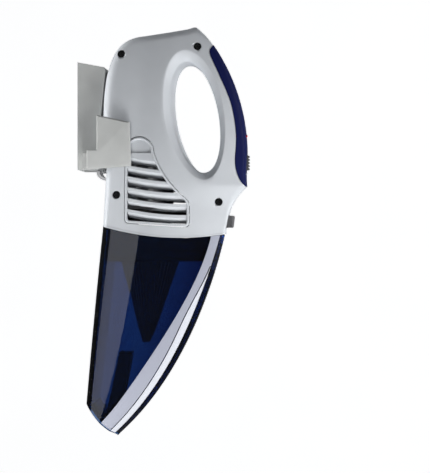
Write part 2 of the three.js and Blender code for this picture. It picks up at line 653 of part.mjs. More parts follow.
const circuitBoard = () => box(143, 144.4, -8.5, 8.5, -56, -12);
const switchBlock = () => box(144.7, 153, -4.5, 4.5, -51, -35);
const indicatorLamp = () => turnedOut([
  [0, 145], [LAMP.radius, 145], [LAMP.radius, 157.6], [LAMP.radius * 0.7, 158.2], [0, 158.5],
], 0, LAMP.z, 12);
const chargeLens = () => turnedOut([
  [0, 148], [CHARGE_LENS.radius, 148], [CHARGE_LENS.radius, 158], [0, 158.6],
], 0, CHARGE_LENS.z, 12);

// ---------------------------------------------------------------- cup release
/** The release button: a thumb pad level with the front face, and a stem that the spring sits on. */
function releaseButton() {
  const { x, bottom, top, half } = BUTTON;
  const face = [[x - 1.8, bottom], [x - 1, bottom + 0.8], [x, top - 0.8], [x - 0.8, top]];
  const pad = slab([[x - 11, bottom], ...face, [x - 11, top]], -half, half);
  const stem = turnedOut(rod(2, x - 18, x - 10.5), 0, (bottom + top) / 2, 12);
  return pad.add(stem);
}

const releaseSpring = () => {
  const sleeve = tube(2.4, 3.4, BUTTON.x - 19, BUTTON.x - 11 - GAP);
  return turnedOut(sleeve, 0, (BUTTON.bottom + BUTTON.top) / 2, 14);
};

// ---------------------------------------------------------------- wall bracket
/** The bracket: a tapered back block behind the vacuum, and two cheeks on arms beside the body. */
function wallBracket() {
  const profile = [
    [0, -52.4], [17, -52.4], [21, -40], [22, -2], [24.3, 20], [26.4, 41], [25, 43.8], [0, 48.5],
  ];
  const room = [[-5, -44], [12, -44], [16, -20], [17, -2], [20, 34], [-5, 38]];
  const cheek = [[12.2, -53.1], [53.3, -49.8], [51.8, -9.4], [21.4, -2.8], [21.4, -36], [12.2, -36]];
  const arm = [[8, -52], [20, -52], [24, -37.5], [8, -37.5]];
  let bracket = slab(profile, -PLATE_HALF, PLATE_HALF)
    .subtract(slab(room, -PLATE_HALF + 5, PLATE_HALF - 5))
    .add(box(0, BACK_THICK, -PLATE_HALF + 4, PLATE_HALF - 4, -46, 40));
  for (const side of [-1, 1]) {
    const across = (outline, near, far) => slab(outline, ...[side * near, side * far].sort((a, b) => a - b));
    bracket = bracket
      .add(across(cheek, CHEEK.inner, CHEEK.inner + CHEEK.thick))
      .add(across(arm, PLATE_HALF - 5, CHEEK.inner + 1));
  }
  for (const z of WALL_SCREWS) {
    bracket = bracket
      .subtract(turnedOut(rod(WALL_SCREW.shank + 2 * GAP, -5, 30), 0, z, 16))
      .subtract(turnedOut(rod(WALL_SCREW.head + 6 * GAP, 12, 40), 0, z, 20));
  }
  return bracket.subtract(bodyForm(-1, OUTSIDE));
}

const WALL_SCREW = { shank: 2, head: 4.2, socket: 1.2 };

/** A wall screw: the shank ends level with the wall, and the head sits on the bracket's back. */
const wallScrew = (z) => {
  const { shank, head, socket } = WALL_SCREW;
  const seat = BACK_THICK + GAP;
  return turnedOut([
    [0, 0.2], [shank, 0.2], [shank, seat], [head, seat], [head, 5.4], [socket, 5.9], [socket, 4.9], [0, 4.9],
  ], 0, z, 16);
};

/** A charging contact: a strip that curls from under the bracket to the pad on the vacuum's back. */
function chargeContact(side) {
  const line = (points) => new THREE.SplineCurve(points.map(point)).getPoints(10);
  const outer = line([[15.4, -52.8], [16.6, -57.6], [21.6, -61.4], [28.1, -60.8]]);
  const inner = line([[28.1, -59.4], [23, -59.2], [19.6, -56.2], [18.6, -52.8]]);
  return slab(new THREE.Shape([...outer, ...inner]), side * HOOK.y - HOOK.half, side * HOOK.y + HOOK.half);
}

/** The pad that a contact presses on, let into the shells' back. */
const contactPad = (side) => padSpace(side, 0);

// ---------------------------------------------------------------- the assembly
const FINISH = {
  shell: { color: 0xc3c7cf, roughness: 0.42, metalness: 0.25 },
  cover: { color: 0x1a1c5c, roughness: 0.3, metalness: 0 },
  vent: { color: 0xb9bdc5, roughness: 0.45, metalness: 0.2 },
  screw: { color: 0x151517, roughness: 0.5, metalness: 0.6 },
  cup: { color: 0x0b1d5a, roughness: 0.08, metalness: 0 },
  trim: { color: 0xb6bacb, roughness: 0.25, metalness: 0.9 },
  bracket: { color: 0xb5b9b6, roughness: 0.5, metalness: 0 },
  dark: { color: 0x2b2c30, roughness: 0.6, metalness: 0 },
  rubber: { color: 0x1d1d20, roughness: 0.8, metalness: 0 },
  fabric: { color: 0x3a3c42, roughness: 0.95, metalness: 0 },
  steel: { color: 0x9b9da2, roughness: 0.35, metalness: 1 },
  board: { color: 0x1f5a33, roughness: 0.5, metalness: 0 },
  cell: { color: 0x2f6fae, roughness: 0.45, metalness: 0 },
  fan: { color: 0xd8d6cf, roughness: 0.5, metalness: 0 },
  red: { color: 0xc4161c, roughness: 0.2, metalness: 0 },
  clear: { color: 0xe8ecef, roughness: 0.1, metalness: 0 },
};

const handheldVacuum = new THREE.Group();

function place(name, made, finish) {
  const mesh = new THREE.Mesh(geometryOf(made), new THREE.MeshStandardMaterial(FINISH[finish]));
  mesh.name = name;
  handheldVacuum.add(mesh);
}

place('wall_bracket', wallBracket(), 'bracket');
place('wall_screw_low', wallScrew(WALL_SCREWS[0]), 'steel');
place('wall_screw_high', wallScrew(WALL_SCREWS[1]), 'steel');
place('charge_contact_right', chargeContact(-1), 'steel');
place('charge_contact_left', chargeContact(1), 'steel');

place('right_shell', rightShell(), 'shell');
place('left_shell', leftShell(), 'shell');
place('handle_cover', handleCover(), 'cover');
const grille = rightGrille();
place('right_vent_grille', grille, 'vent');
place('left_vent_grille', mirrored(grille), 'vent');
for (const [name, spot] of Object.entries(SCREW_PLACES)) {
  place(`case_screw_${name}`, caseScrew(spot), 'screw');
}
place('contact_pad_right', contactPad(-1), 'steel');
place('contact_pad_left', contactPad(1), 'steel');
place('indicator_lamp', indicatorLamp(), 'red');
place('charge_lens', chargeLens(), 'clear');
place('circuit_board', circuitBoard(), 'board');
place('switch_block', switchBlock(), 'dark');
place('motor_can', motorCan(), 'steel');
place('motor_mount', motorMount(), 'dark');
place('fan_housing', fanHousing(), 'dark');
place('battery_tray', batteryTray(), 'dark');
CELL_PLACES.forEach((spot, k) => place(`battery_cell_${k + 1}`, batteryCell(spot), 'cell'));
place('filter_frame', filterFrame(), 'dark');
place('filter_cone', filterCone(), 'fabric');
place('filter_seal', filterSeal(), 'rubber');

place('motor_shaft', motorShaft(), 'steel');
place('fan_impeller', fanImpeller(), 'fan');

place('switch_slider', switchSlider(), 'dark');
place('release_button', releaseButton(), 'dark');
place('release_spring', releaseSpring(), 'steel');

place('dust_cup', dustCup(), 'cup');
const trim = rightTrim();
place('cup_trim_right', trim, 'trim');
place('cup_trim_left', mirrored(trim), 'trim');
place('intake_duct', intakeDuct(), 'dark');
place('intake_flap', intakeFlap(), 'rubber');

export default handheldVacuum;
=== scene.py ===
"""The looks of the handheld vacuum and its wall bracket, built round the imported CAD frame.

Shapes are worked out in millimetres in the CAD's own frame, and each finished piece is scaled to metres.
The near side, which faces the camera, is -Y.
"""

import json
import math
from types import SimpleNamespace

import bmesh
import bpy
from mathutils import Matrix, Vector


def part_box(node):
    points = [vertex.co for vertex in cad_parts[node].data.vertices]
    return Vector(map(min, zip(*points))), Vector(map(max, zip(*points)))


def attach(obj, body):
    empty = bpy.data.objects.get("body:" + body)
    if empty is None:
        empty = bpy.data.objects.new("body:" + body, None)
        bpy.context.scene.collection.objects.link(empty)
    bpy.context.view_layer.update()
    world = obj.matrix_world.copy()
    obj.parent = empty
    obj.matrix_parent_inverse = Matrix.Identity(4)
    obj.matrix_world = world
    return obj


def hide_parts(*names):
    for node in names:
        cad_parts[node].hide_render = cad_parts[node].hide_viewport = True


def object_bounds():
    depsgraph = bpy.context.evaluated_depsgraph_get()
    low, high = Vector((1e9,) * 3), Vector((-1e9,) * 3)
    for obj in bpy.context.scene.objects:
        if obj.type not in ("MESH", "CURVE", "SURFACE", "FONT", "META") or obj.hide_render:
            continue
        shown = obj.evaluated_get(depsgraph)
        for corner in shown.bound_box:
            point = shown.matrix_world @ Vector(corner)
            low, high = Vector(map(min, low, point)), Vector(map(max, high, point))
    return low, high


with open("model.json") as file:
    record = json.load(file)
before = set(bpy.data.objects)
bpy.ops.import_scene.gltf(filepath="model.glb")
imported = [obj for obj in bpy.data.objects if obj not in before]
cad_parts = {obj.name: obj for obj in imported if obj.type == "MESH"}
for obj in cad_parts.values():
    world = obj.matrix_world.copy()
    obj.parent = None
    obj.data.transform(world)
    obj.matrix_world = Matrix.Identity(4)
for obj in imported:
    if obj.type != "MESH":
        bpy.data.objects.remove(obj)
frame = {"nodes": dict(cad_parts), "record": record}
cad_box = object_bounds()
MM = 0.001

# ---------------------------------------------------------------- driving dimensions, in millimetres
# These follow the CAD source, apart from the dish round the grip, the rounding at the apex and the louvre
# blades, which were set against the photo.
GAP = 0.3                        # room between neighbouring parts
WALL = 2.5
BELLY_HALF = 51
TOP_HALF = 27
FRONT_HALF = 17
BACK_ROUND = 10
TOP_ROUND = 7
APEX_ROUND = 6.5
FRONT_ROUND = 4
APEX = (110, 83.3)
TIP = (157.4, -67.3)
BELLY_START = 60                 # X where the sides start to turn in towards the front
TAPER_START = -60                # Z above which the sides draw in towards the top
TAPER_RISE = 144
FLOOR_THICK = 3
SIDE_EXPONENT = 1.5              # how the sides turn in towards the front, on the body and on the cup

GRIP = SimpleNamespace(x=110.3, z=-3, short=21.6, long=53, tilt=math.radians(10.4))
DISH = SimpleNamespace(deep=8, least=5.8, above=5, below=1.2, sharpness=1.2)
SEAM = SimpleNamespace(x=97, z=-116, bow=0.0021)
CUP = SimpleNamespace(back_x=24.7, back_z=-107.4, back_slope=0.103, top_z=-101, bottom_z=-306.5)
CUP_SIDE = SimpleNamespace(inset=0.8, end_half=33)
SPINE = SimpleNamespace(edge_half=14.5, flat_half=8)
MOUTH = [(8.4, -270.6), (19.5, -287.5), (34.9, -302.2)]
PLATE_HALF = 29
CHEEK_INNER = 52.2
CHEEK_THICK = 3.6
VENT = SimpleNamespace(
    left=46.7, right=105.8, low=-102.8, drop=3.4, corner=4, top_x=60.3, top_z=-35.8, top_radius=13.4)
SLOT = SimpleNamespace(first=-53.2, pitch=10.1, count=6, bow=0.0022, middle=100, margin=2.6)
BLADE = SimpleNamespace(below=1.3, above=6.0, overlap=0.6, gap=2.5, roll=7.0, thick=1.3)
SWITCH = SimpleNamespace(x=156.2, bottom=-52, top=-38, half=5, travel=6, stem_half=2)
CONE = SimpleNamespace(x=65.8, top=-136.2, bottom=-215, radius=29, tip_x=62, tip_radius=3.5)

FINE = 3                         # outline steps here for each step of the CAD outline
DISH_STEPS = 9
SIDE_STEPS = 14
EDGE_STEPS = 7
NEAR = (-60, -20)                # Y from outside the near side to well inside it


def at(node):
    """Lowest and highest corner of a CAD node, in millimetres."""
    low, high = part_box(node)
    return low / MM, high / MM


# ---------------------------------------------------------------- meshes and booleans
def new_piece(name, points, faces):
    """An object with a closed mesh, its faces turned outwards."""
    mesh = bpy.data.meshes.new(name)
    mesh.from_pydata([tuple(p) for p in points], [], faces)
    work = bmesh.new()
    work.from_mesh(mesh)
    bmesh.ops.remove_doubles(work, verts=work.verts, dist=1e-5)
    bmesh.ops.recalc_face_normals(work, faces=work.faces)
    work.to_mesh(mesh)
    work.free()
    piece = bpy.data.objects.new(name, mesh)
    bpy.context.scene.collection.objects.link(piece)
    return piece


def copy_of(piece, name):
    made = piece.copy()
    made.data = piece.data.copy()
    made.name = name
    bpy.context.scene.collection.objects.link(made)
    return made


def remove(piece):
    mesh = piece.data
    bpy.data.objects.remove(piece)
    bpy.data.meshes.remove(mesh)


def boolean(piece, tool, operation):
    """Joins, cuts or intersects a piece with a tool, which is used up."""
    modifier = piece.modifiers.new("boolean", "BOOLEAN")
    modifier.operation = operation
    modifier.solver = "MANIFOLD"
    modifier.object = tool
    bpy.context.view_layer.update()
    made = bpy.data.meshes.new_from_object(piece.evaluated_get(bpy.context.evaluated_depsgraph_get()))
    piece.modifiers.clear()
    old = piece.data
    piece.data = made
    bpy.data.meshes.remove(old)
    remove(tool)
    return piece


def cut(piece, *tools):
    for tool in tools:
        boolean(piece, tool, "DIFFERENCE")
    return piece


def join(piece, *tools):
    for tool in tools:
        boolean(piece, tool, "UNION")
    return piece


def within(piece, *tools):
    for tool in tools:
        boolean(piece, tool, "INTERSECT")
    return piece


def mirrored(piece, name):
    """A copy on the other side of the middle plane."""
    made = copy_of(piece, name)
    made.data.transform(Matrix.Diagonal((1, -1, 1, 1)))
    made.data.flip_normals()
    return made


def skin(name, rings, wrap=False):
    """Joins rings of equal length into a closed skin. An open stack gets a flat end at each side."""
    size = len(rings[0])
    count = len(rings)
    faces = []
    for i in range(count if wrap else count - 1):
        a = i * size
        b = (i + 1) % count * size
        for k in range(size):
            n = (k + 1) % size
            faces.append((a + k, a + n, b + n, b + k))
    if not wrap:
        faces.append(tuple(range(size)))
        faces.append(tuple(range((count - 1) * size, count * size)))
    return new_piece(name, [p for ring in rings for p in ring], faces)


def slab(outline, y0, y1, name="slab"):
    """A slab cut from an outline drawn in X and Z."""
    return skin(name, [[(x, y, z) for x, z in outline] for y in (y0, y1)])


def block(x0, x1, y0, y1, z0, z1):
    return slab([(x0, z0), (x1, z0), (x1, z1), (x0, z1)], y0, y1, "block")


def turned(profile, centre, axis, sides=48, name="turned"):
    """A turned solid. Its profile is a list of (radius, distance along the axis from zero)."""
    rings = []
    for radius, along in profile:
        ring = []
        for k in range(sides):
            angle = 2 * math.pi * k / sides
            u = max(radius, 1e-3) * math.cos(angle)
            v = max(radius, 1e-3) * math.sin(angle)
            local = {"x": (along, u, v), "y": (u, along, v), "z": (u, v, along)}[axis]
            ring.append([a + b for a, b in zip(local, centre)])
        rings.append(ring)
    return skin(name, rings)


def rod(radius, low, high, centre, axis, sides=48):
    return turned([(radius, low), (radius, high)], centre, axis, sides)


def bead_along(points, radius_out, radius_up, sides):
    """A closed bead along a loop of points on the side, oval across: wide in the surface, low out of it."""
    rings = []
    for k, point in enumerate(points):
        ahead = Vector(points[(k + 1) % len(points)]) - Vector(points[k - 1])
        across = ahead.cross(Vector((0, 1, 0))).normalized()
        ring = []
        for j in range(sides):
            angle = 2 * math.pi * j / sides
            offset = across * radius_out * math.cos(angle) + Vector((0, radius_up * math.sin(angle), 0))
            ring.append(Vector(point) + offset)
        rings.append(ring)
    return skin("bead", rings, wrap=True)


# ---------------------------------------------------------------- curves
def on_curve(points, t):
    """A point of the Bezier curve with these control points. Two points make a straight line."""
    while len(points) > 1:
        points = [tuple(a + (b - a) * t for a, b in zip(p, q)) for p, q in zip(points, points[1:])]
    return points[0]


def catmull_rom(p, q, r, s, t):
    """A value between q and r, on the smooth curve that also passes through p and s."""
    bend = 2 * p - 5 * q + 4 * r - s
    twist = 3 * q - p - 3 * r + s
    return 0.5 * (2 * q + (r - p) * t + bend * t * t + twist * t ** 3)


def through(points, steps):
    """Points on a smooth curve that passes through the given ones."""
    padded = [points[0], *points, points[-1]]
    made = []
    for four in zip(padded, padded[1:], padded[2:], padded[3:]):
        for k in range(steps):
            made.append(tuple(catmull_rom(*values, k / steps) for values in zip(*four)))
    return [*made, points[-1]]


def arc(centre, radius, start, end, steps):
    """Points on an arc, from start to end in degrees."""
    angles = [math.radians(start + (end - start) * k / steps) for k in range(steps + 1)]
    return [(centre[0] + radius * math.cos(a), centre[1] + radius * math.sin(a)) for a in angles]


def clamp01(value):
    return min(1, max(0, value))


def smooth_step(t):
    return t * t * (3 - 2 * t)


def x_at(points, z):
    """X at height z on a line of (x, z) points."""
    for (ax, az), (bx, bz) in zip(points, points[1:]):
        if (az - z) * (bz - z) <= 0 and az != bz:
            return ax + (bx - ax) * (z - az) / (bz - az)
    return points[0][0] if z > points[0][1] else points[-1][0]


# ---------------------------------------------------------------- body form
# Stretches of the side outline, clockwise from the low back corner: control points, CAD steps, edge rounding.
BODY_STRETCHES = [
    ([(24, -142), (25.5, -112)], 1, BACK_ROUND),
    ([(25.5, -112), (29, -52)], 2, BACK_ROUND),
    ([(29, -52), (29.4, -42), (26, -34), (25.8, -22)], 3, BACK_ROUND),
    ([(25.8, -22), (25.6, -3)], 1, BACK_ROUND),
    ([(25.6, -3), (25.4, 28), (29, 54), (41.9, 65.4)], 5, BACK_ROUND),
    ([(41.9, 65.4), (47, 69.6), (54, 72.4), (62.9, 73.1)], 2, TOP_ROUND),
    ([(62.9, 73.1), (76.3, 75.3), (89.6, 77.8), (103, 80.6)], 3, TOP_ROUND),
    ([(103, 80.6), APEX, APEX, (113.6, 80)], 3, APEX_ROUND),
    ([(113.6, 80), (135.4, 61.4), (159, 12), (157.6, -40)], 9, FRONT_ROUND),
    ([(157.6, -40), (157.5, -50), (156, -58), TIP], 3, FRONT_ROUND),
    ([TIP, (150, -75), (143.2, -82), (141, -94)], 4, FRONT_ROUND),
    ([(141, -94), (138.4, -107.5)], 1, FRONT_ROUND),
    ([(138.4, -107.5), (136.2, -117)], 1, FRONT_ROUND),
    ([(136.2, -117), (130, -142)], 1, FRONT_ROUND),
    ([(130, -142), (24, -142)], 4, 1),
]
FRONT_STRETCHES = BODY_STRETCHES[8:14]


def body_outline():
    """Points of the outline with the way in and an edge rounding that changes gently along it."""
    points = []
    for controls, steps, rounding in BODY_STRETCHES:
        for k in range(steps * FINE):
            t = k / (steps * FINE)
            x, z = on_curve(controls, t)
            ahead = on_curve(controls, t + 0.01)
            run = math.hypot(ahead[0] - x, ahead[1] - z)
            in_x = (ahead[1] - z) / run
            in_z = (x - ahead[0]) / run
            points.append(SimpleNamespace(x=x, z=z, in_x=in_x, in_z=in_z, round=rounding))
    count = len(points)
    for k, point in enumerate(points):
        point.soft_round = sum(points[(k + j) % count].round for j in range(-FINE, FINE + 1)) / (2 * FINE + 1)
    return points


OUTLINE = body_outline()
FRONT_EDGE = [on_curve(c, k / (n * FINE)) for c, n, _ in FRONT_STRETCHES for k in range(n * FINE)]


def side_half(z):
    """Half width of the body where the sides are widest, at height z."""
    rise = clamp01((z - TAPER_START) / TAPER_RISE)
    return BELLY_HALF - (BELLY_HALF - TOP_HALF) * rise * rise


def half_width(x, z):
    """Half width of the body at a point of its side."""
    front = max(x_at(FRONT_EDGE, z), BELLY_START + 10)
    turn = clamp01((x - BELLY_START) / (front - BELLY_START)) ** SIDE_EXPONENT
    side = side_half(z)
    return side - (side - FRONT_HALF) * turn


def grip_reach(dx, dz, grow):
    """Distance from the grip's middle to the opening's edge, moved outwards by grow."""
    along = -dx * math.sin(GRIP.tilt) + dz * math.cos(GRIP.tilt)
    across = dx * math.cos(GRIP.tilt) + dz * math.sin(GRIP.tilt)
    return 1 / math.hypot(across / (GRIP.short + grow), along / (GRIP.long + grow))


def dish_width(dz):
    """Width of the dished band round the grip opening: widest above it and narrowest at its sides."""
    return DISH.least + DISH.above * max(dz, 0) ** 3 + DISH.below * max(-dz, 0) ** 3


def fillet(width, depth, sharpness, steps):
    """Steps of (distance, drop) from an edge to the level surface. Sharpness 2 is round and 1 is flat."""
    made = []
    for k in range(steps + 1):
        angle = math.pi / 2 * k / steps
        away = 1 - max(math.cos(angle), 0) ** (2 / sharpness)
        fall = 1 - max(math.sin(angle), 0) ** (2 / sharpness)
        made.append((width * away, depth * fall))
    return made


def body_form(inset, name="body form"):
    """The whole body as one closed ring round the grip opening, moved inwards by inset."""
    rings = []
    for p in OUTLINE:
        reach = math.hypot(p.x - GRIP.x, p.z - GRIP.z)
        dx = (p.x - GRIP.x) / reach
        dz = (p.z - GRIP.z) / reach
        facing = max(-(dx * p.in_x + dz * p.in_z), 0.5)
        hole = grip_reach(dx, dz, inset)
        length = reach - inset / facing - hole
        dish = min(max(dish_width(dz) - inset, 0.6), length * 0.45)
        edge = max(p.soft_round - inset, 0.4)
        inner = fillet(dish, max(DISH.deep - inset, 0.6), DISH.sharpness, DISH_STEPS)
        outer = [(length - d, drop) for d, drop in reversed(fillet(edge, edge, 2, EDGE_STEPS))]
        middle = [(dish + (length - dish - edge) * k / SIDE_STEPS, 0) for k in range(1, SIDE_STEPS)]
        side = []
        for distance, drop in [*inner, *middle, *outer]:
            x = GRIP.x + dx * (hole + distance)
            z = GRIP.z + dz * (hole + distance)
            side.append((x, half_width(x, z) - inset - drop, z))
        rings.append([*side, *[(x, -y, z) for x, y, z in reversed(side)]])
    return skin(name, rings, wrap=True)


def seam_line(up):
    """The seam between body and cup from behind the object to ahead of it, or a line this far above it."""
    return [(x, SEAM.z + SEAM.bow * (x - SEAM.x) ** 2 + up) for x in range(-40, 201, 5)]


def below_seam(up):
    """Everything below the seam, or below a line this far above it."""
    return slab([(-40, -400), *seam_line(up), (200, -400)], -90, 90)


def seam_band(low, high):
    return slab([*seam_line(low), *reversed(seam_line(high))], -90, 90)


def side_space(side, gap):
    """The half space on one side of the middle plane: -1 is the near side."""
    return block(-50, 250, *sorted((side * gap, side * 100)), -350, 150)


# ---------------------------------------------------------------- handle cover
COVER_PROUD = 0.35
COVER_EDGE = [(131, 70), (126, 64), (123.8, 57), (131.9, 38.7), (143.8, 9.7), (148.6, -20), (147.6, -46),
              (151.6, -61), (158.5, -69)]


def cover_slab(shift):
    """Everything ahead of the handle cover's rear edge."""
    edge = [(x - shift, z) for x, z in through(COVER_EDGE, 6)]
    return slab([*edge, (190, -69), (190, 70)], -60, 60)


def handle_cover():
    """The cover over the front of the grip, with the switch's track and holes for the lamp and the lens."""
    cover = within(body_form(-COVER_PROUD, "handle_cover_shell"), cover_slab(0))
    cut(cover, body_form(WALL))
    through_cover = (140, 190)
    track_top = SWITCH.top + SWITCH.travel
    half = SWITCH.half + GAP
    stem = SWITCH.stem_half
    cut(cover, block(SWITCH.x - GAP, 190, -half, half, SWITCH.bottom - GAP, track_top + GAP))
    cut(cover, block(*through_cover, -stem, stem, SWITCH.bottom + 1.5, track_top - 2))
    for low, high in (at("indicator_lamp"), at("charge_lens")):
        radius = (high.y - low.y) / 2
        cut(cover, rod(radius + GAP, *through_cover, (0, 0, (low.z + high.z) / 2), "x", 24))
    return cover


# ---------------------------------------------------------------- vent grilles
BEAD = SimpleNamespace(inset=1.75, wide=1.0, high=0.85)
FIELD_DEEP = 1.2


def vent_outline(shrink):
    """The grille's outline: straight back edge, round top, sloping front edge and small corners."""
    left = VENT.left + shrink
    right = VENT.right - shrink
    low = VENT.low + shrink
    corner = max(VENT.corner - shrink * 0.5, 1.2)
    radius = VENT.top_radius - shrink
    outline = arc((left + corner, low + corner), corner, 180, 270, 6)
    outline += arc((right - corner, low - VENT.drop + corner), corner, 270, 360, 6)
    shoulder = [(right, -86), (right, -81.5), (right - 4, -78.5)]
    slope = [(right - 4, -78.5), (81 - shrink, -60), (VENT.top_x + radius, VENT.top_z)]
    outline += [on_curve(shoulder, k / 5) for k in range(6)]
    outline += [on_curve(slope, k / 12) for k in range(1, 12)]
    outline += arc((VENT.top_x, VENT.top_z), radius, 0, 180, 20)
    return outline


def slot_level(x, level, up):
    """Height of a louvre slot's middle line, or of a line this far above it."""
    return SLOT.first - SLOT.pitch * level + SLOT.bow * (x - SLOT.middle) ** 2 + up


def slot_opening(level):
    """One louvre opening on the near side, clipped to the grille's outline."""
    xs = [VENT.left + 2 + 4 * k for k in range(15)]
    low = [(x, slot_level(x, level, -BLADE.below)) for x in xs]
    high = [(x, slot_level(x, level, BLADE.above)) for x in reversed(xs)]
    return within(slab([*low, *high], *NEAR), slab(vent_outline(SLOT.margin), *NEAR))


def louvre_blade(level):
    """The blade in a louvre opening: level with the grille at its top, it rolls inwards to a narrow gap."""
    xs = [VENT.left + 1 + 2 * k for k in range(30)]
    top = BLADE.above + BLADE.overlap
    drop = top + BLADE.below - BLADE.gap
    rings = []
    for x in xs:
        outer = []
        inner = []
        for k in range(11):
            down = k / 10
            z = slot_level(x, level, top - drop * down)
            for row, grow in ((outer, 0), (inner, BLADE.thick)):
                depth = BLADE.roll * down ** 1.5 + grow
                row.append((x, -(half_width(x, z) - 0.25 - depth), z))
        rings.append([*outer, *reversed(inner)])
    room = slab(vent_outline(SLOT.margin - 0.35), *NEAR)
    end_gap = block(VENT.left, VENT.left + SLOT.margin + 0.6, *NEAR, VENT.low - 10, VENT.top_z)
    return within(skin("louvre", rings), cut(room, end_gap))


def grille(case):
    """The near grille: a panel with a raised bead round it, a sunk field at the top and rolled louvres."""
    panel = within(copy_of(case, "grille_right"), slab(vent_outline(GAP), *NEAR))
    field_low = SLOT.first + 15.5
    field = within(
        slab(vent_outline(3), *NEAR),
        block(VENT.left, VENT.right, *NEAR, field_low, VENT.top_z + 20))
    cut(panel, cut(field, body_form(FIELD_DEEP)))
    for level in range(SLOT.count):
        cut(panel, slot_opening(level))
    for level in range(SLOT.count):
        join(panel, louvre_blade(level))
    line = [(x, -half_width(x, z) + 0.1, z) for x, z in vent_outline(BEAD.inset)]
    return join(panel, bead_along(line, BEAD.wide, BEAD.high, 12))


# ---------------------------------------------------------------- side shells and case screws
SCREW_NODES = ["case_screw_top_back", "case_screw_top_front", "case_screw_low_back", "case_screw_low_front"]
SCREW_RECESS = 3.7               # radius of the round recess
SCREW_BOSS = 5.4                 # radius of the solid boss behind it
LIP = SimpleNamespace(proud=0.2, high=1.4)
INLET = SimpleNamespace(x=70, radius=12)               # the air passage through the floor


def screw_place(screw):
    """X and Z of a case screw, and Y of the shell's surface there."""
    low, high = at(screw)
    x = (low.x + high.x) / 2
    z = (low.z + high.z) / 2
    return x, z, -half_width(x, z)


def whole_case():
    """Both shells, the grilles and the cover as one hollow body, with a lip along the seam."""
    case = cut(body_form(0, "case"), below_seam(0))
    lip = within(body_form(-LIP.proud), seam_band(0, LIP.high))
    join(case, lip)
    return cut(case, cut(body_form(WALL), below_seam(FLOOR_THICK)))


def room_round(part, x0, x1):
    """A block from x0 to x1 with a gap all round a CAD node's width and height."""
    low, high = at(part)
    return block(x0, x1, low.y - GAP, high.y + GAP, low.z - GAP, high.z + GAP)


def side_shell(case, name, side):
    """One shell, with room for its neighbours and half of the air inlet in its floor.

    The case screws go in from the near side only.
    """
    shell = copy_of(case, name)
    cut(shell, cover_slab(GAP), slab(vent_outline(-0.15), *sorted((side * 20, side * 60))))
    cut(shell, room_round("release_button", 120, 160))
    cut(shell, rod(INLET.radius, -125, -100, (INLET.x, 0, 0), "z"))
    for pad in ("contact_pad_right", "contact_pad_left"):
        low, high = at(pad)
        cut(shell, room_round(pad, low.x - 1, high.x + GAP))
    within(shell, side_space(side, GAP / 2))
    if side > 0:
        return shell
    for screw in SCREW_NODES:
        x, z, y = screw_place(screw)
        join(shell, within(rod(SCREW_BOSS, y + 2, -1, (x, 0, z), "y"), body_form(0.6)))
        cut(shell, rod(SCREW_RECESS, -70, y + 5, (x, 0, z), "y"))
        rim = turned([(SCREW_RECESS + 1.3, y - 1), (SCREW_RECESS - 0.2, y + 0.7)], (x, 0, z), "y")
        cut(shell, rim)
    return shell


def case_screw(name):
    """A blackened screw with a domed head and a cross recess, sunk a little below the shell."""
    x, z, y = screw_place(name)
    tip = at(name)[1].y
    head = SCREW_RECESS - 0.25
    shank = 1.6
    angles = [math.radians(degrees) for degrees in range(80, -1, -10)]
    dome = [(head * math.cos(a), y + 2.1 - 0.9 * math.sin(a)) for a in angles]
    profile = [(0.05, dome[0][1]), *dome, (head, y + 5), (shank, y + 5), (shank, tip - 1), (0.1, tip)]
    screw = turned(profile, (x, 0, z), "y", 48, name + "_fine")
    for wide, tall in ((0.5, 1.9), (1.9, 0.5)):
        cut(screw, block(x - wide, x + wide, y - 1, y + 3, z - tall, z + tall))
    return screw


# ---------------------------------------------------------------- dust cup
SPINE_LINE = [on_curve([(137.2, -110), (127.2, -157), (97, -250), (34.5, -304)], k / 60) for k in range(61)]
SEAM_FRONT = -113                # Z where the cup's front line meets the seam
CUP_LEVELS = 54
BACK_WALL = 6                    # from the body's back line: the cup starts 0.8 inside it, so the wall is 5.2
TRIM = SimpleNamespace(width=11, widens=16.5, thick=1.1, end=1.5)
STRIP = SimpleNamespace(width=3.2, widens=2.1)         # the blue strip ahead of the trim
GROOVE = SimpleNamespace(back=0.2, widens=6.4, width=1.0, top=-141)


def cup_fade(z):
    """How far down the cup a height is: 0 at the seam, 1 near the mouth."""
    return clamp01((SEAM_FRONT - z) / 150)


def trim_rear(z):
    """X of the trim's rear edge."""
    return x_at(SPINE_LINE, z) - (TRIM.width + TRIM.widens * smooth_step(cup_fade(z)))


def facet_edge(z):
    """X of the edge between the trim and the blue strip along the cup's front."""
    return x_at(SPINE_LINE, z) - STRIP.width - STRIP.widens * clamp01((SEAM_FRONT - z) / 60)


def groove_edge(z):
    """X of the groove between the trim's wide facet and its narrow one."""
    return facet_edge(z) - GROOVE.back - GROOVE.widens * smooth_step(clamp01((-135 - z) / 65))


def back_line(z):
    """X of the body's back line, carried on down the cup."""
    return CUP.back_x + CUP.back_slope * (z - CUP.back_z)


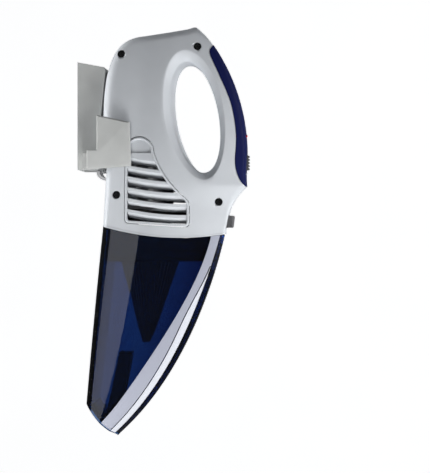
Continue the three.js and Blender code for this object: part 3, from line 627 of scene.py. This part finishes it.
def cup_half_section(z, inset):
    """Half of a level section through the cup, from the back to the spine, as (x, y)."""
    back = back_line(z) + CUP_SIDE.inset + inset
    front = x_at(SPINE_LINE, z) - inset
    taper = clamp01((SEAM_FRONT - z) / 180) ** 1.7
    side = BELLY_HALF - CUP_SIDE.inset - (BELLY_HALF - CUP_SIDE.end_half) * taper - inset
    facet_x = facet_edge(z) - inset
    turn_start = back + (front - back) * 0.32

    def half(x):
        turn = clamp01((x - turn_start) / (front - turn_start)) ** SIDE_EXPONENT
        return side - (side - SPINE.edge_half + inset) * turn

    rounding = max(BACK_ROUND * (1 - 0.4 * cup_fade(z)) - inset, 1)
    corner = [(back + a, side - b) for a, b in fillet(rounding, rounding, 2, 10)]
    flat = [(back + rounding + 0.6, side), (turn_start - 0.6, side)]
    trim_x = trim_rear(z) - inset
    line_x = groove_edge(z) - inset
    flank = [turn_start + (trim_x - turn_start) * k / 18 for k in range(19)]
    facets = [trim_x + (line_x - trim_x) * k / 4 for k in range(1, 5)]
    nose = [(facet_x, SPINE.edge_half - inset), (front, SPINE.flat_half - inset * 0.5)]
    return [*corner, *flat, *[(x, half(x)) for x in [*flank, *facets]], *nose]


def cup_levels():
    """Heights of the cup's level sections, from the top down."""
    return [CUP.top_z + (CUP.bottom_z - CUP.top_z) * k / CUP_LEVELS for k in range(CUP_LEVELS + 1)]


def cup_form(inset, name="cup form"):
    """The whole cup as a solid, moved inwards by inset."""
    rings = []
    for z in cup_levels():
        half = cup_half_section(z, inset)
        rings.append([*[(x, y, z) for x, y in half], *[(x, -y, z) for x, y in reversed(half)]])
    return skin(name, rings)


def beyond_mouth(up):
    """Everything beyond the slanted mouth, or beyond a line this far up the cup from it."""
    up_cup = (0.79, 0.61)
    line = through([(x + up * up_cup[0], z + up * up_cup[1]) for x, z in MOUTH], 8)
    (x0, z0), (x1, z1) = line[0], line[-1]
    run = math.hypot(x1 - x0, z1 - z0)
    on_x = (x1 - x0) / run * 80
    on_z = (z1 - z0) / run * 80
    front_end = (x1 + on_x, z1 + on_z)
    back_end = (x0 - on_x, z0 - on_z)
    outside = [(x - 150, z - 60) for x, z in (front_end, back_end)]
    return slab([*line, front_end, *outside, back_end], -80, 80)


def body_clear():
    """The room that the body takes above the seam."""
    return cut(body_form(-GAP), below_seam(-GAP))


def dust_cup():
    """The hollow cup. Its back wall is thicker than its sides, so it looks nearly black from the side."""
    top = CUP.top_z + 1
    bottom = CUP.bottom_z - 1
    rear = [(back_line(z) + BACK_WALL, z) for z in (top, bottom)]
    room = cut(cup_form(WALL), slab([*rear, (-40, bottom), (-40, top)], -70, 70))
    return cut(cup_form(0, "dust_cup_clear"), room, beyond_mouth(0), body_clear())


def cup_trim():
    """The silver trim on the near side: its wide facet, and the narrow one beyond a fine open groove."""

    def strip(rear, front, inner_y, top=0):
        levels = [z for z in cup_levels() if z < top]
        outline = [*[(rear(z), z) for z in levels], *[(front(z), z) for z in reversed(levels)]]
        return slab(outline, -60, inner_y)

    def groove_side(side):
        return lambda z: groove_edge(z) + side * GROOVE.width / 2

    def past_facet(z):
        return facet_edge(z) + 1

    trim = cut(cup_form(-GAP - TRIM.thick, "cup_trim_silver_right"), cup_form(-GAP))
    within(trim, strip(trim_rear, facet_edge, -SPINE.edge_half - GAP))
    cut(trim, beyond_mouth(TRIM.end), body_clear())
    narrow = copy_of(trim, "cup_trim_edge_right")
    within(narrow, strip(groove_side(1), past_facet, -10, GROOVE.top))
    cut(trim, strip(groove_side(-1), past_facet, -10, GROOVE.top))
    return trim, narrow


# ---------------------------------------------------------------- filter and release button
def filter_cone():
    """The pleated filter bag: a cone with folds that run down to its tip."""
    pleats = 40
    points = pleats * 4

    def level(z, radius, x, inset):
        ring = []
        for k in range(points):
            angle = 2 * math.pi * k / points
            fold = min(radius * 0.08, 1.5) * (math.cos(angle * pleats) - 1) / 2
            reach = radius + fold - inset
            ring.append((x + reach * math.cos(angle), reach * math.sin(angle), z))
        return ring

    def cone(inset, over):
        return skin("filter_bag", [
            level(CONE.top + over, CONE.radius - 0.6, CONE.x, inset),
            level(CONE.bottom + 12 + inset, CONE.radius * 0.28, CONE.tip_x + 1, inset),
            level(CONE.bottom + inset, CONE.tip_radius, CONE.tip_x, inset)])

    return cut(cone(0, 0.5), cone(1.4, 6))


def release_button():
    """The thumb button: a rounded pad with grip grooves across its face and down its sides."""
    low, high = at("release_button")
    pad_x = high.x
    pad_long = 11
    corner = 1.6
    outline = [
        (pad_x - pad_long, low.z),
        *arc((pad_x - 1 - corner, low.z + corner), corner, -90, 0, 6),
        *arc((pad_x - corner, high.z - corner), corner, 0, 90, 6),
        (pad_x - pad_long, high.z)]
    pad = slab(outline, low.y, high.y, "release_button_fine")
    for side in (-1, 1):
        edge = side * high.y
        chamfer = [(pad_x - 1.6, edge), (pad_x + 1, edge - side * 2.4), (pad_x + 1, edge + side)]
        corners = [[(x, y, z) for x, y in chamfer] for z in (low.z - 1, high.z + 1)]
        cut(pad, skin("chamfer", corners))
        for back in (3.1, 4.9, 6.7):
            cut(pad, rod(0.55, low.z + 1, high.z - 1, (pad_x - back, edge, 0), "z", 16))
    for y in (-5.4, -1.8, 1.8, 5.4):
        cut(pad, rod(0.7, low.z - 1, high.z + 1, (pad_x + 0.15, y, 0), "z", 16))
    return join(pad, rod(2, low.x, pad_x - 10, (0, 0, (low.z + high.z) / 2), "x", 24))


# ---------------------------------------------------------------- wall bracket
BRACKET_WALL = 5
WALL_SCREW = SimpleNamespace(hole=2.6, head_hole=6)


def bracket_cheek(side):
    """A cheek beside the body. Its outer face is chamfered at the front, and more along the bottom."""
    outer = CHEEK_INNER + CHEEK_THICK
    outline = [(12.2, -53.1), (53.3, -49.8), (51.8, -9.4), (21.4, -2.8), (21.4, -36), (12.2, -36)]
    face = [(12.9, -50.2), (51.4, -47.2), (50.1, -10.2), (22.1, -4), (22.1, -35.2), (12.9, -35.2)]
    rows = ((outline, CHEEK_INNER), (outline, outer - 1.1), (face, outer))
    return skin("cheek", [[(x, side * y, z) for x, z in line] for line, y in rows])


def wall_bracket():
    """The tapered back block with its hollow, the arms and cheeks beside the body, and the screw holes."""
    outline = [(0, -52.4), (17, -52.4), (21, -40), (22, -2), (24.3, 20), (26.4, 41), (25, 43.8), (0, 48.5)]
    room = [(-5, -44), (12, -44), (16, -20), (17, -2), (20, 34), (-5, 38)]
    arm = [(8, -52), (20, -52), (24, -37.5), (8, -37.5)]
    bracket = slab(outline, -PLATE_HALF, PLATE_HALF, "bracket_fine")
    inner = PLATE_HALF - BRACKET_WALL
    cut(bracket, slab(room, -inner, inner))
    join(bracket, block(0, 3, -inner - 1, inner + 1, -46, 40))
    for side in (-1, 1):
        join(bracket, bracket_cheek(side))
        join(bracket, slab(arm, *sorted((side * inner, side * (CHEEK_INNER + 1)))))
    for screw in ("wall_screw_low", "wall_screw_high"):
        low, high = at(screw)
        place = (0, 0, (low.z + high.z) / 2)
        cut(bracket, rod(WALL_SCREW.hole, -5, 30, place, "x", 32))
        cut(bracket, rod(WALL_SCREW.head_hole, 12, 40, place, "x", 32))
    return cut(bracket, body_form(-1))


# ---------------------------------------------------------------- materials
NOISE_LOW = 0.3                  # most of a noise pattern lies between these two values
NOISE_HIGH = 0.7


def surface(made):
    return made.node_tree.nodes["Principled BSDF"]


def material(name, base, roughness, **sockets):
    """A material whose constant values are set on the shader's own sockets."""
    made = bpy.data.materials.new(name)
    made.use_nodes = True
    shader = surface(made)
    shader.inputs["Base Color"].default_value = (*base, 1)
    shader.inputs["Roughness"].default_value = roughness
    for socket, value in sockets.items():
        shader.inputs[socket.replace("_", " ")].default_value = value
    return made


def add_node(made, kind, **values):
    """A new node with some of its inputs set."""
    added = made.node_tree.nodes.new(kind)
    for key, value in values.items():
        added.inputs[key.replace("_", " ")].default_value = value
    return added


def noise(made, scale, stretch=(1, 1, 1), detail=3.0):
    """A noise pattern in the object's own coordinates. Scale is in waves per metre."""
    place = add_node(made, "ShaderNodeTexCoord")
    mapping = add_node(made, "ShaderNodeMapping")
    mapping.inputs["Scale"].default_value = stretch
    pattern = add_node(made, "ShaderNodeTexNoise", Scale=scale, Detail=detail)
    made.node_tree.links.new(place.outputs["Object"], mapping.inputs["Vector"])
    made.node_tree.links.new(mapping.outputs["Vector"], pattern.inputs["Vector"])
    return pattern.outputs["Fac"]


def vary_colour(made, pattern, dark, light):
    """The base colour wanders between two colours along a pattern."""
    ramp = add_node(made, "ShaderNodeValToRGB")
    ramp.color_ramp.elements[0].position = NOISE_LOW
    ramp.color_ramp.elements[1].position = NOISE_HIGH
    ramp.color_ramp.elements[0].color = (*dark, 1)
    ramp.color_ramp.elements[1].color = (*light, 1)
    made.node_tree.links.new(pattern, ramp.inputs["Fac"])
    made.node_tree.links.new(ramp.outputs["Color"], surface(made).inputs["Base Color"])


def vary_roughness(made, pattern, low, high):
    """The roughness wanders between two values along a pattern."""
    spread = add_node(
        made, "ShaderNodeMapRange", From_Min=NOISE_LOW, From_Max=NOISE_HIGH, To_Min=low, To_Max=high)
    made.node_tree.links.new(pattern, spread.inputs["Value"])
    made.node_tree.links.new(spread.outputs["Result"], surface(made).inputs["Roughness"])


def relief(made, pattern, height, edge):
    """A fine surface relief, with edges rounded by `edge` metres."""
    rounded = add_node(made, "ShaderNodeBevel", Radius=edge)
    rounded.samples = 6
    bump = add_node(made, "ShaderNodeBump", Strength=1.0, Distance=height)
    made.node_tree.links.new(rounded.outputs["Normal"], bump.inputs["Normal"])
    made.node_tree.links.new(pattern, bump.inputs["Height"])
    made.node_tree.links.new(bump.outputs["Normal"], surface(made).inputs["Normal"])


def shade(colour, factor):
    return tuple(c * factor for c in colour)


def moulded(name, base, roughness, grain=2200, height=4e-6, edge=4e-4, spread=0.05, **sockets):
    """Moulded plastic: fine grain, faint mottling, and roughness that wanders a little."""
    made = material(name, base, roughness, **sockets)
    broad = noise(made, 60, detail=2)
    vary_colour(made, broad, shade(base, 1 - spread), shade(base, 1 + spread))
    vary_roughness(made, noise(made, 240), roughness - 0.03, roughness + 0.04)
    relief(made, noise(made, grain, detail=4), height, edge)
    return made


def brushed(name, base, roughness, stretch, scale=900, height=3e-6, **sockets):
    """Brushed metal: scratches drawn out along one direction."""
    made = material(name, base, roughness, **{"Metallic": 1.0, **sockets})
    lines = noise(made, scale, stretch, detail=5)
    vary_colour(made, lines, shade(base, 0.9), shade(base, 1.06))
    vary_roughness(made, lines, roughness - 0.05, roughness + 0.07)
    relief(made, lines, height, 2e-4)
    return made


def cloth(name, base):
    """Non-woven cloth with drawn-out fibres."""
    made = material(name, base, 0.95, Sheen_Weight=0.3)
    fibres = noise(made, 1800, (1, 1, 0.25), detail=6)
    vary_colour(made, fibres, shade(base, 0.7), shade(base, 1.35))
    relief(made, fibres, 6e-5, 2e-4)
    return made


def clear_blue(name):
    """The cup's deep blue clear plastic. Light is tinted at the surface, and again inside the wall."""
    made = material(name, (0.3, 0.45, 0.62), 0.03, Transmission_Weight=1.0, IOR=1.46)
    vary_colour(made, noise(made, 25, detail=1), (0.28, 0.43, 0.6), (0.32, 0.47, 0.64))
    depth = add_node(made, "ShaderNodeVolumeAbsorption", Color=(0.08, 0.36, 0.62, 1), Density=900)
    output = made.node_tree.nodes["Material Output"]
    made.node_tree.links.new(depth.outputs["Volume"], output.inputs["Volume"])
    relief(made, noise(made, 18, detail=1), 2e-5, 5e-4)
    return made


def make_materials():
    """One material for each of the record's slots, and a lighter copy of the trim's material that paints a
    highlight on its narrow facet.
    """
    return {
        "bracket_plastic": moulded("bracket plastic", (0.49, 0.5, 0.49), 0.46, 1500, 8e-6, 6e-4),
        "steel": brushed("plain steel", (0.56, 0.56, 0.57), 0.34, (1, 1, 8)),
        "shell_silver": moulded(
            "silver shell", (0.61, 0.635, 0.665), 0.4, 2600, 4e-6, 5e-4, 0.02, Metallic=0.12),
        "cover_blue": moulded(
            "indigo cover", (0.004, 0.007, 0.06), 0.4, 2600, 3e-6, 5e-4, Specular_IOR_Level=0.3),
        "screw_black": moulded(
            "blackened screw", (0.008, 0.009, 0.01), 0.45, 1800, 1e-5, 2e-4, Metallic=0.5),
        "lamp_red": moulded("red lamp", (0.62, 0.012, 0.015), 0.2, edge=2e-4, Coat_Weight=0.4),
        "lens_clear": moulded("clear lens", (0.7, 0.73, 0.75), 0.15, edge=2e-4, Coat_Weight=0.5),
        "board_green": moulded("solder mask", (0.02, 0.13, 0.045), 0.4, 900, 2e-5, 2e-4, 0.2),
        "dark_plastic": moulded("dark plastic", (0.028, 0.029, 0.033), 0.5, 1500, 1e-5, 3e-4, 0.1),
        "grey_plastic": moulded("grey plastic", (0.11, 0.11, 0.115), 0.42, 1500, 1e-5, 3e-4, 0.08),
        "cell_sleeve": moulded(
            "cell sleeve", (0.03, 0.15, 0.42), 0.3, 700, 1e-5, 3e-4, 0.06, Coat_Weight=0.3),
        "filter_cloth": cloth("filter cloth", (0.05, 0.055, 0.065)),
        "rubber": moulded("rubber", (0.014, 0.014, 0.016), 0.75, 1200, 1.5e-5, 3e-4, 0.12),
        "fan_plastic": moulded("nylon fan", (0.62, 0.6, 0.54), 0.45, 1600, 6e-6, 3e-4),
        "cup_blue": clear_blue("clear blue cup"),
        "trim_silver": brushed(
            "brushed silver trim", (0.48, 0.50, 0.59), 0.36, (6, 6, 0.6), 700, Metallic=0.35),
        # A lighter, glossier copy of the trim's material for the narrow facet: a painted highlight for the
        # light that facet catches.
        "trim_painted_highlight": brushed(
            "polished silver edge", (0.72, 0.74, 0.80), 0.3, (6, 6, 0.6), 700, Metallic=0.25),
    }


# ---------------------------------------------------------------- assembly
def smooth(piece, angle=32):
    """Smooth shading, except across edges sharper than the angle in degrees."""
    piece.data.shade_smooth()
    piece.data.set_sharp_from_angle(angle=math.radians(angle))


def put(piece, body, slot, finish, *nodes, look=None):
    """Scales a finished piece to metres, gives it its material, ties it to its body and hides the CAD nodes
    that it stands in for.
    """
    piece.data.transform(Matrix.Scale(MM, 4))
    piece.data.materials.clear()
    piece.data.materials.append(finish[look or slot])
    smooth(piece)
    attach(piece, body)
    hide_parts(*nodes)


def build_pieces(finish):
    """Makes every finer piece and puts it in place of its CAD node."""
    case = whole_case()
    put(side_shell(case, "shell_right_fine", -1), "vacuum", "shell_silver", finish, "right_shell")
    put(side_shell(case, "shell_left_fine", 1), "vacuum", "shell_silver", finish, "left_shell")
    near = grille(case)
    far = mirrored(near, "grille_left")
    remove(case)
    put(near, "vacuum", "shell_silver", finish, "right_vent_grille")
    put(far, "vacuum", "shell_silver", finish, "left_vent_grille")
    put(handle_cover(), "vacuum", "cover_blue", finish, "handle_cover")
    for name in SCREW_NODES:
        put(case_screw(name), "vacuum", "screw_black", finish, name)
    put(filter_cone(), "vacuum", "filter_cloth", finish, "filter_cone")
    put(release_button(), "cup_release", "grey_plastic", finish, "release_button")
    put(dust_cup(), "cup", "cup_blue", finish, "dust_cup")
    # The narrow facet takes the lighter copy of the trim's material, a painted highlight; the wide facet
    # takes the trim's own.
    for trim, look in zip(cup_trim(), ("trim_silver", "trim_painted_highlight")):
        other = mirrored(trim, trim.name.replace("right", "left"))
        put(trim, "cup", "trim_silver", finish, "cup_trim_right", look=look)
        put(other, "cup", "trim_silver", finish, "cup_trim_left", look=look)
    put(wall_bracket(), "bracket", "bracket_plastic", finish, "wall_bracket")


def finish_cad_nodes(finish):
    """The CAD nodes that stay get the same materials, and smooth shading."""
    for part in frame["record"]["subparts"]:
        piece = frame["nodes"][part["node"]]
        if piece.hide_render:
            continue
        piece.data.materials.clear()
        piece.data.materials.append(finish[part["material_slot"]])
        smooth(piece)


# ---------------------------------------------------------------- stage, light and camera
VIEW_AZIMUTH = math.radians(3.5)
VIEW_DISTANCE = 1.6
FRAME_HEIGHT = 0.4494            # height of the picture at the object's middle plane
LOOK_RIGHT = 0.0472              # the picture's middle, from the middle of the object's box
LOOK_DOWN = 0.0039
STAGE_RADIUS = 5
STAGE_HIGH = 8
FLOOR_DROP = 2.4                 # the floor is well below the object, so that its underside can be seen
STAGE_BEND = 1.5                 # radius of the sweep between the floor and the wall
STAGE_SIDES = 72


def make_stage(centre):
    """A pale round floor that sweeps up all round. It only shows directly and through the clear cup."""
    floor_z = centre.z - FLOOR_DROP
    bend = arc((STAGE_RADIUS - STAGE_BEND, floor_z + STAGE_BEND), STAGE_BEND, -90, 0, 12)
    profile = [(0.001, floor_z), *bend, (STAGE_RADIUS, centre.z + STAGE_HIGH)]
    points = []
    for radius, z in profile:
        for k in range(STAGE_SIDES):
            angle = 2 * math.pi * k / STAGE_SIDES
            points.append((centre.x + radius * math.cos(angle), radius * math.sin(angle), z))
    faces = []
    for row in range(len(profile) - 1):
        a = row * STAGE_SIDES
        b = a + STAGE_SIDES
        for k in range(STAGE_SIDES):
            n = (k + 1) % STAGE_SIDES
            faces.append((a + k, a + n, b + n, b + k))
    mesh = bpy.data.meshes.new("stage")
    mesh.from_pydata(points, [], faces)
    mesh.shade_smooth()
    stage = bpy.data.objects.new("stage", mesh)
    bpy.context.scene.collection.objects.link(stage)
    pale = material("pale stage", (0.86, 0.87, 0.87), 0.9, Emission_Color=(1, 1, 1, 1), Emission_Strength=0.8)
    vary_colour(pale, noise(pale, 3, detail=2), (0.84, 0.85, 0.85), (0.88, 0.89, 0.89))
    mesh.materials.append(pale)
    stage.visible_diffuse = False
    stage.visible_glossy = False
    stage.visible_shadow = False


def add_light(name, place, target, size, power, glossy=True):
    """A soft rectangular light at a place, turned to its target."""
    data = bpy.data.lights.new(name, "AREA")
    data.shape = "RECTANGLE"
    data.size, data.size_y = size
    data.energy = power
    light = bpy.data.objects.new(name, data)
    bpy.context.scene.collection.objects.link(light)
    light.location = place
    light.rotation_euler = (Vector(target) - Vector(place)).to_track_quat("-Z", "Y").to_euler()
    light.visible_glossy = glossy
    light.visible_camera = False


def make_lights(centre):
    """Soft lights: a steep low key in front, lights beside and behind, and a card that the cup mirrors."""
    add_light("key", centre + Vector((0.45, -0.9, -1.5)), centre, (1.0, 0.8), 36, glossy=False)
    add_light("right", centre + Vector((1.6, 0.0, -0.1)), centre, (0.8, 1.6), 17, glossy=False)
    add_light("left", centre + Vector((-1.5, -0.1, 0.1)), centre, (0.8, 1.4), 36, glossy=False)
    beside = centre + Vector((-0.51, 0, -0.4))
    add_light("card", beside + Vector((0, -1.9, 0)), beside, (0.64, 2.4), 8)
    add_light("rim", centre + Vector((1.5, -0.5, 0.35)), centre, (0.4, 1.2), 2)
    add_light("back", centre + Vector((1.0, 1.2, 0.2)), centre, (1.0, 1.2), 30, glossy=False)
    world = bpy.data.worlds.new("studio")
    world.use_nodes = True
    background = world.node_tree.nodes["Background"]
    background.inputs["Color"].default_value = (0.9, 0.93, 1, 1)
    background.inputs["Strength"].default_value = 0.1
    bpy.context.scene.world = world


def make_camera(centre):
    """The camera level with the object, a little round from its near side, as in the photo."""
    aim = centre + Vector((LOOK_RIGHT, 0, -LOOK_DOWN))
    data = bpy.data.cameras.new("camera")
    data.lens = data.sensor_width * VIEW_DISTANCE / FRAME_HEIGHT
    camera = bpy.data.objects.new("camera", data)
    bpy.context.scene.collection.objects.link(camera)
    back = Vector((math.sin(VIEW_AZIMUTH), -math.cos(VIEW_AZIMUTH), 0))
    camera.location = aim + back * VIEW_DISTANCE
    camera.rotation_euler = (math.pi / 2, 0, VIEW_AZIMUTH)
    bpy.context.scene.camera = camera


finishes = make_materials()
build_pieces(finishes)
finish_cad_nodes(finishes)
middle = (cad_box[0] + cad_box[1]) / 2
make_stage(middle)
make_lights(middle)
make_camera(middle)
bpy.context.scene.view_settings.view_transform = "Standard"
